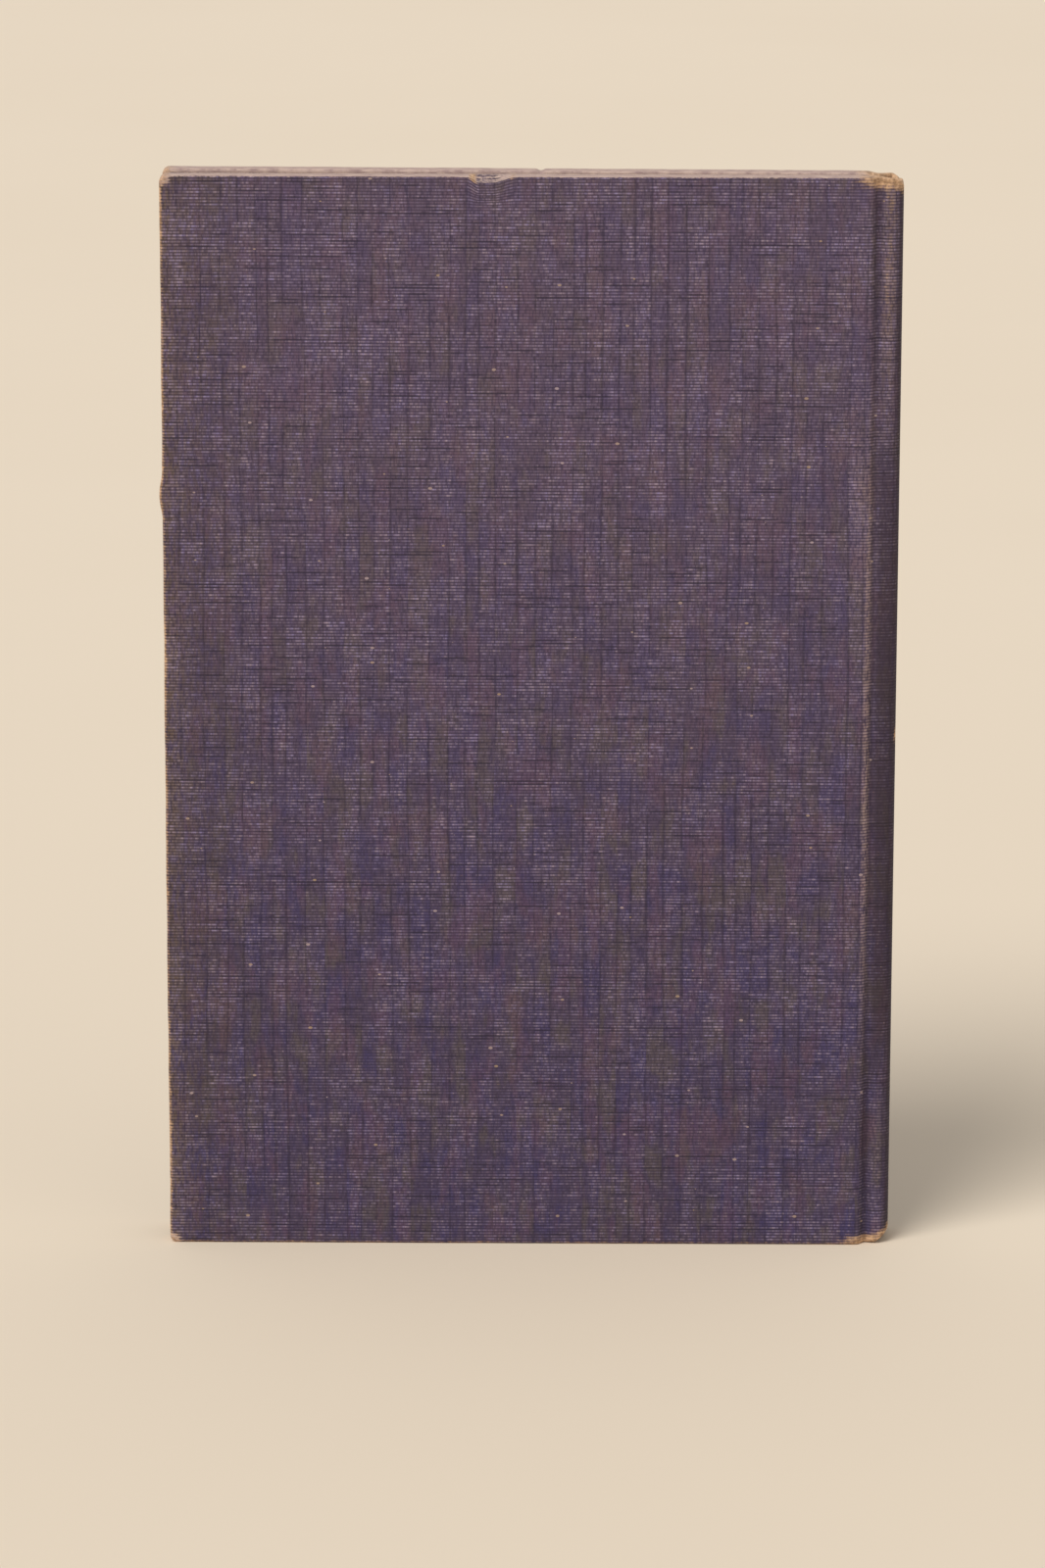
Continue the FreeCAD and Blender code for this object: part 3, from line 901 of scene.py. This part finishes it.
def tan_mask(at, fore_wear, ridge):
    """Tan where the dye is gone: corners, ends of the spine, edges, the dent's ends, one speck."""
    corner = fade(0.5, 3.0, at.from_corner)
    spine_head = smooth(CREASE_X - 7.0, CREASE_X + 0.8, at.x) * fade(0.3, 3.3, at.from_head)
    spine_tail = smooth(HINGE_X - 7.0, CREASE_X - 1.0, at.x) * fade(0.3, 2.7, at.from_tail)
    ridge_spots = ridge * smooth(150.0, 178.0, at.z) * (0.02 + 0.34 * at.uneven)
    tail_edge = (0.18 + 0.42 * at.uneven) * fade(0.1, 0.7, at.from_tail)
    tan = most(0.58 * corner, 0.80 * spine_head, 0.76 * spine_tail, ridge_spots, fore_wear, tail_edge)
    if at.side == FRONT:
        return tan
    dent_ends = hump(DENT_FROM + 0.9, 1.2, at.x) + 0.55 * hump(DENT_TO - 0.8, 1.1, at.x)
    dent_tan = 0.78 * dent_ends * fade(0.1, 0.8, at.from_head)
    speck_way = np.hypot(at.x - SPINE_X, at.z - SPINE_SPECK_Z) + 8.0 * (at.y < 1.5)
    return most(tan, dent_tan, 0.95 * fade(0.25, 0.75, speck_way))


def rubbed_mask(at, ridge):
    """Rubbed threads on the joint's crest, beside it, on the spine's ridge and at the fore edge."""
    crest = hump(CREST_X + 0.25, 1.0, at.x) * smooth(4.3, 5.4, at.y)
    middle = 0.12 + 0.88 * smooth(25.0, 75.0, at.near_end)
    beside = 0.34 * hump(CREST_X - 1.0, 3.2, at.x) * hump(136.0, 26.0, at.z) * at.uneven
    ridge_ends = smooth(135.0, 170.0, at.z) + 0.5 * fade(18.0, 50.0, at.z)
    on_ridge = ridge * ridge_ends * (0.03 + 0.32 * at.uneven)
    margin = fade(0.3, 6.0, at.from_fore) * 0.22 * at.uneven
    return most(crest * (0.22 + 0.55 * at.long_uneven) * middle, beside, on_ridge, margin)


def handled_mask(at):
    """Brown from hands near the fore edge and the ends, and on the spine's ridge high up."""
    handled = 0.60 * fade(0.0, 3.2, at.from_fore) + 0.3 * fade(0.0, 3.0, at.near_end)
    handled = handled + 0.56 * fade(2.0, 20.0, at.from_fore)
    return most(handled, 0.70 * hump(SPINE_X - 2.3, 2.2, at.x) * smooth(135.0, 165.0, at.z))


def painted_shade_mask(at):
    """Painted shade in the groove, on the rounding of the spine and on the side between them away
    from the light.
    """
    groove = (0.55 - 0.2 * smooth(80.0, 165.0, at.z)) * hump(CREASE_X, 1.0, at.x)
    beside_spine = smooth(CREASE_X - 0.6, CREASE_X + 1.5, at.x) * smooth(18.0, 45.0, at.z)
    shadow_side = 0.78 * beside_spine * fade(120.0, 165.0, at.z)
    rounding = 0.85 * smooth(SPINE_X - 1.5, SPINE_X - 0.3, at.x) * smooth(0.8, 3.4, at.y)
    return most(groove, rounding, shadow_side) * smooth(0.0, 0.9, at.near_end)


def cloth_masks(side, x, y, z, depth):
    """Where the cloth is pale, tan, handled, rubbed or darkened with painted shade: 0 to about 1 at
    each point.
    """
    at = Places(side, x, y, z)
    arris = 1.0 - 0.75 * smooth(0.5, 1.1, depth)
    fore_wear = arris * (0.22 + 0.62 * at.uneven) * fade(0.05, 0.85, at.from_fore)
    ridge = hump(SPINE_X - 2.3, 1.9, x) * smooth(3.2, 4.4, y)
    return {
        "pale": pale_mask(at, fore_wear),
        "tan": tan_mask(at, fore_wear, ridge),
        "handled": handled_mask(at),
        # Painted shade in the groove and on the spine's rounding
        "painted_shade": painted_shade_mask(at),
        "rubbed": rubbed_mask(at, ridge),
    }


# Sheets of paper and gauze

def flat_at(level):
    """The middle of a sheet that lies at one level."""
    def middle(x):
        return np.full_like(x, level)
    return middle


def sheet_piece(name, x_places, z_places, middle, thickness, material):
    """A closed thin sheet. middle(x) gives the level of its middle above the book's middle."""
    grid_x, grid_z = np.meshgrid(x_places, z_places, indexing="ij")
    x, z = grid_x.ravel(), grid_z.ravel()
    y = middle(x)
    columns, rows = len(x_places), len(z_places)
    lower = np.array([x, y - thickness / 2, z]).T
    upper = np.array([x, y + thickness / 2, z]).T
    points = np.concatenate([lower, upper])
    total = columns * rows
    faces = grid_faces(columns, rows, False)
    faces += [tuple(total + corner for corner in face[::-1]) for face in faces]
    rim = [int(index) for index in rim_order(columns, rows)]
    rim += [(columns - 1) * rows + row for row in range(rows - 2, 0, -1)]
    for here, there in zip(rim, rim[1:] + rim[:1]):
        faces.append((there + total, here + total, here, there))
    return mesh_piece(name, points, faces, material=material)


def build_pastedown(side):
    """The half of the endpaper that is pasted inside the cover, out to its fold at the pages."""
    x_places = np.concatenate([
        stations(PAGE_FORE_X, BEND_COVER_X - 0.6, 0.6, 6.0, 20.0, (PAGE_FORE_X, BEND_COVER_X)),
        np.arange(BEND_COVER_X - 0.3, PAGE_SPINE_X, 0.22),
        [PAGE_SPINE_X],
    ])
    z_places = stations(PAGE_TAIL, PAGE_HEAD, 0.8, 7.0, 25.0, (PAGE_TAIL, PAGE_HEAD))
    middle = flat_at((LEAF_Y + COVER_INNER_Y) / 2 * side)
    name = NAME_OF_SIDE[side] + "_pasted_endpaper"
    return sheet_piece(name, x_places, z_places, middle, 0.19, ENDPAPER)


def build_flyleaf(side):
    """The free half of the endpaper, lying on the pages."""
    x_places = stations(PAGE_FORE_X, PAGE_SPINE_X, 1.0, 6.0, 20.0, (PAGE_FORE_X, PAGE_SPINE_X))
    z_places = stations(PAGE_TAIL, PAGE_HEAD, 1.0, 7.0, 25.0, (PAGE_TAIL, PAGE_HEAD))
    middle = flat_at((PAGE_Y + LEAF_Y) / 2 * side)
    name = NAME_OF_SIDE[side] + "_free_endpaper"
    return sheet_piece(name, x_places, z_places, middle, 0.18, ENDPAPER)


def build_gauze_wing(side):
    """The gauze from the spine's edge across the joint and under the pasted endpaper."""
    x_places = np.concatenate([
        stations(MULL_START_X, BEND_COVER_X - 0.6, 0.8, 4.0, 12.0, (BEND_COVER_X,)),
        np.arange(BEND_COVER_X - 0.3, PAGE_SPINE_X, 0.22),
    ])
    z_places = stations(MULL_TAIL, MULL_HEAD, 1.5, 6.0, 25.0, (MULL_TAIL, MULL_HEAD))

    def middle(x):
        return side * (2.725 - 0.1 * smooth(BOARD_END_X - 1.0, BOARD_END_X + 0.3, x))

    name = NAME_OF_SIDE[side] + "_gauze_wing"
    return sheet_piece(name, x_places, z_places, middle, 0.2, GAUZE)


def build_spine_card():
    """The card strip between the two layers of the spine's cloth, its corners eased."""
    outline = [(0.0, 0.95), (1.6, 1.25), (2.7, 1.65), (3.4, 2.2), (3.85, 3.2)]
    tail = [(-reach, end) for reach, end in outline[:0:-1]] + outline
    head = [(reach, HEIGHT - 0.5 - end) for reach, end in outline[::-1]]
    head += [(-reach, HEIGHT - 0.5 - end) for reach, end in outline[1:]]
    ring = np.array(tail + head)
    middle = np.array([0.0, HEIGHT / 2])
    points, faces = [], []
    for x, ease in ((CARD_IN_X, 0.0), (CARD_IN_X + 0.6, 0.0), (CARD_OUT_X - 0.03, 0.6)):
        eased = ring - np.sign(ring - middle) * ease
        points += [(x, y, z) for y, z in eased]
    count = len(ring)
    for level in range(2):
        for i in range(count):
            here, there = level * count + i, level * count + (i + 1) % count
            faces.append((here, there, there + count, here + count))
    faces.append(tuple(range(count))[::-1])
    faces.append(tuple(2 * count + i for i in range(count)))
    card = mesh_piece("spine_card_strip", points, faces, material=SPINE_CARD)
    card.data.shade_flat()
    return card


def build_board(side):
    """The millboard inside a cover: it ends a little inside the cloth all round."""
    first, last = FORE_X + CLOTH + 0.05, BOARD_END_X
    x_places = stations(first, last, 0.2, 3.0, 12.0, (first, DENT_FROM, DENT_TO, NICK_X))
    z_places = np.array([0.0, 0.3, 0.7, 0.97, 1.0])
    middle = flat_at(side * (COVER_Y + COVER_INNER_Y) / 2)
    thickness = COVER_Y - COVER_INNER_Y - 2.0 * CLOTH - 0.1
    name = NAME_OF_SIDE[side] + "_millboard"
    board = sheet_piece(name, x_places, z_places, middle, thickness, BOARD)
    points = np.zeros(len(board.data.vertices) * 3)
    board.data.vertices.foreach_get("co", points)
    points = points.reshape(-1, 3)
    x, share = points[:, 0] / MM, points[:, 2] / MM
    tail, head = cloth_levels(side, x, np.full_like(x, COVER_Y))
    reach = CORNER_ROUND - CLOTH
    over = np.clip(FORE_X + CORNER_ROUND - x, 0.0, reach)
    eased = reach - np.sqrt(reach ** 2 - over ** 2) + CLOTH + 0.15
    if side == BACK:
        head = head - DENT_DROP * dent_across(x)
    else:
        head = head - NICK_DROP * hump(NICK_X, NICK_HALF, x)
    points[:, 2] = (tail + eased + share * (head - tail - 2.0 * eased)) * MM
    board.data.vertices.foreach_set("co", points.ravel())
    board.data.shade_flat()
    return board


# The leaves of the page block

def make_leaf_tree():
    """Geometry nodes that stack thin leaves, each a little out of line, with a tone of its own."""
    group = bpy.data.node_groups.new("stacked_leaves", "GeometryNodeTree")
    group.is_modifier = True
    tree = Tree(group)
    sockets = {}
    for label, kind in (
        ("Leaves", "Int"), ("Leaf Size", "Vector"), ("First Middle", "Vector"), ("Spacing", "Float"),
        ("Out Of Line", "Vector"), ("Waviness", "Float"), ("Paper", "Material"),
    ):
        made = group.interface.new_socket(name=label, in_out="INPUT", socket_type="NodeSocket" + kind)
        sockets[label] = made.identifier
    group.interface.new_socket(name="Geometry", in_out="OUTPUT", socket_type="NodeSocketGeometry")
    given = tree.node("NodeGroupInput").outputs
    out = tree.node("NodeGroupOutput").inputs
    size = given["Leaf Size"]
    leaf = tree.add("GeometryNodeMeshCube", Size=size, Vertices_X=18, Vertices_Y=2, Vertices_Z=26)
    offset = tree.join(0.0, given["Spacing"], 0.0)
    places = tree.add(
        "GeometryNodeMeshLine",
        Count=given["Leaves"], Start_Location=given["First Middle"], Offset=offset,
    )
    stack = tree.add("GeometryNodeInstanceOnPoints", Points=places[0], Instance=leaf[0])
    furthest = given["Out Of Line"]
    nearest = tree.scaled(furthest, (-1.0, -1.0, -1.0))
    shift = tree.made("FunctionNodeRandomValue", nearest, furthest, data_type="FLOAT_VECTOR")
    shift[0].node.inputs["Seed"].default_value = 11
    move = tree.add("GeometryNodeTranslateInstances", Instances=stack[0], Translation=shift[0])
    tone = tree.add("FunctionNodeRandomValue", {"data_type": "FLOAT"}, Seed=23)
    store = tree.add(
        "GeometryNodeStoreNamedAttribute", {"data_type": "FLOAT", "domain": "INSTANCE"},
        Geometry=move[0], Name="leaf_tone", Value=tone[1],
    )
    real = tree.add("GeometryNodeRealizeInstances", Geometry=store[0])
    x, _, z = tree.parts(tree.node("GeometryNodeInputPosition").outputs[0])
    swell = tree.noise(tree.join(x, 0.0, z), 28.0, 1.0)
    lift = tree.times(tree.minus(swell, 0.5), given["Waviness"])
    raised = tree.join(0.0, lift, 0.0)
    bent = tree.add("GeometryNodeSetPosition", Geometry=real[0], Offset=raised)
    finish = tree.add("GeometryNodeSetMaterial", Geometry=bent[0], Material=given["Paper"])
    tree.put(finish[0], out["Geometry"])
    return group, sockets


def build_leaves():
    """All the leaves between the two free endpapers."""
    group, sockets = make_leaf_tree()
    piece = mesh_piece("page_leaves", [(0.0, 0.0, 0.0)], [])
    modifier = piece.modifiers.new("leaves", "NODES")
    span = 2.0 * (PAGE_Y - 0.14)
    spacing = span / LEAF_COUNT
    width = PAGE_SPINE_X - PAGE_FORE_X - 0.3
    height = PAGE_HEAD - PAGE_TAIL - 0.3
    modifier.node_group = group
    modifier[sockets["Leaves"]] = LEAF_COUNT
    modifier[sockets["Leaf Size"]] = (width * MM, 0.86 * spacing * MM, height * MM)
    middle_x = (PAGE_FORE_X + PAGE_SPINE_X) / 2
    modifier[sockets["First Middle"]] = (middle_x * MM, (-span + spacing) / 2 * MM, HEIGHT / 2 * MM)
    modifier[sockets["Spacing"]] = spacing * MM
    modifier[sockets["Out Of Line"]] = (0.12 * MM, 0.0, 0.1 * MM)
    modifier[sockets["Waviness"]] = 0.2 * MM
    modifier[sockets["Paper"]] = LEAVES
    bake_modifiers(piece)
    piece.data.shade_flat()
    return piece


# Floor, light and camera

def make_floor():
    tree = Material("pale_floor")
    place = tree.object_place()
    clouds = tree.use(MOTTLE, Place=place, Size=300.0)
    colour = tree.mix(tree.times(clouds["Large"], 0.3), rgb(232, 217, 196), rgb(228, 212, 190))
    tree.put(colour, tree.shader["Base Color"])
    tree.put(tree.plus(0.9, tree.times(clouds["Small"], 0.05)), tree.shader["Roughness"])
    far = 6000.0
    points = [(-far, -far, 0.0), (far, -far, 0.0), (far, far, 0.0), (-far, far, 0.0)]
    floor = mesh_piece("floor", points, [(0, 1, 2, 3)], material=tree.material)


def make_light():
    """One soft key from the upper left and an even pale room."""
    key = bpy.data.lights.new("key_light", "SUN")
    key.energy = 2.05
    key.angle = math.radians(32.0)
    key.color = (1.0, 0.985, 0.96)
    made = place_object("key_light", key)
    height, left = math.radians(50.0), math.radians(38.0)
    level = math.cos(height)
    toward = Vector((math.sin(left) * level, math.cos(left) * level, -math.sin(height)))
    made.rotation_mode = "QUATERNION"
    made.rotation_quaternion = toward.to_track_quat("-Z", "Y")
    world = bpy.data.worlds.new("soft_room")
    bpy.context.scene.world = world
    world.use_nodes = True
    sky = world.node_tree.nodes["Background"]
    sky.inputs["Color"].default_value = (1.0, 0.99, 0.98, 1.0)
    sky.inputs["Strength"].default_value = 0.5


def make_camera():
    """The photograph's viewpoint, for a picture of 1066 by 1600."""
    place = Vector((0.0066, -1.1164, 0.3514))
    turn, pitch, roll = math.radians(0.411), math.radians(13.556), math.radians(0.12)
    lens = bpy.data.cameras.new("camera")
    lens.sensor_width = 36.0
    lens.lens = 150.75
    lens.clip_start = 0.01
    lens.clip_end = 50.0
    made = place_object("camera", lens)
    aim = Matrix.Rotation(turn, 4, "Z") @ Matrix.Rotation(math.pi / 2 - pitch, 4, "X")
    made.matrix_world = Matrix.Translation(place) @ aim @ Matrix.Rotation(roll, 4, "Z")
    bpy.context.scene.camera = made


# Putting the pieces on the frame

def bend_across_joint(piece, side):
    """Bakes the piece's transform into its mesh; the piece is not bent.
    """
    if side == BACK:
        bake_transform(piece)
    else:
        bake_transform(piece)


def dress_cover(side):
    name = NAME_OF_SIDE[side]
    cloth = build_case_half(side)
    bend_across_joint(cloth, side)
    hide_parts(name + "_cover_cloth", "spine_cloth")
    pasted = build_pastedown(side)
    bend_across_joint(pasted, side)
    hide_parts(name + "_pastedown")
    wing = build_gauze_wing(side)
    bend_across_joint(wing, side)
    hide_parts(name + "_mull_wing")
    board = build_board(side)
    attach(board, name + "_cover")
    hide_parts(name + "_board")
    free = build_flyleaf(side)
    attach(free, "text_block")
    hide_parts(name + "_flyleaf")


def dress_pages():
    leaves = build_leaves()
    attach(leaves, "text_block")
    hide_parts("page_block")
    card = build_spine_card()
    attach(card, "text_block")
    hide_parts("spine_inlay")


def finish_cad_nodes():
    for node, material in (("spine_lining", LINING), ("spine_mull", GAUZE)):
        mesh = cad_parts[node].data
        mesh.materials.clear()
        mesh.materials.append(material)


dress_cover(BACK)
dress_cover(FRONT)
dress_pages()
finish_cad_nodes()
make_floor()
make_light()
make_camera()
bpy.context.scene.view_settings.view_transform = "Standard"
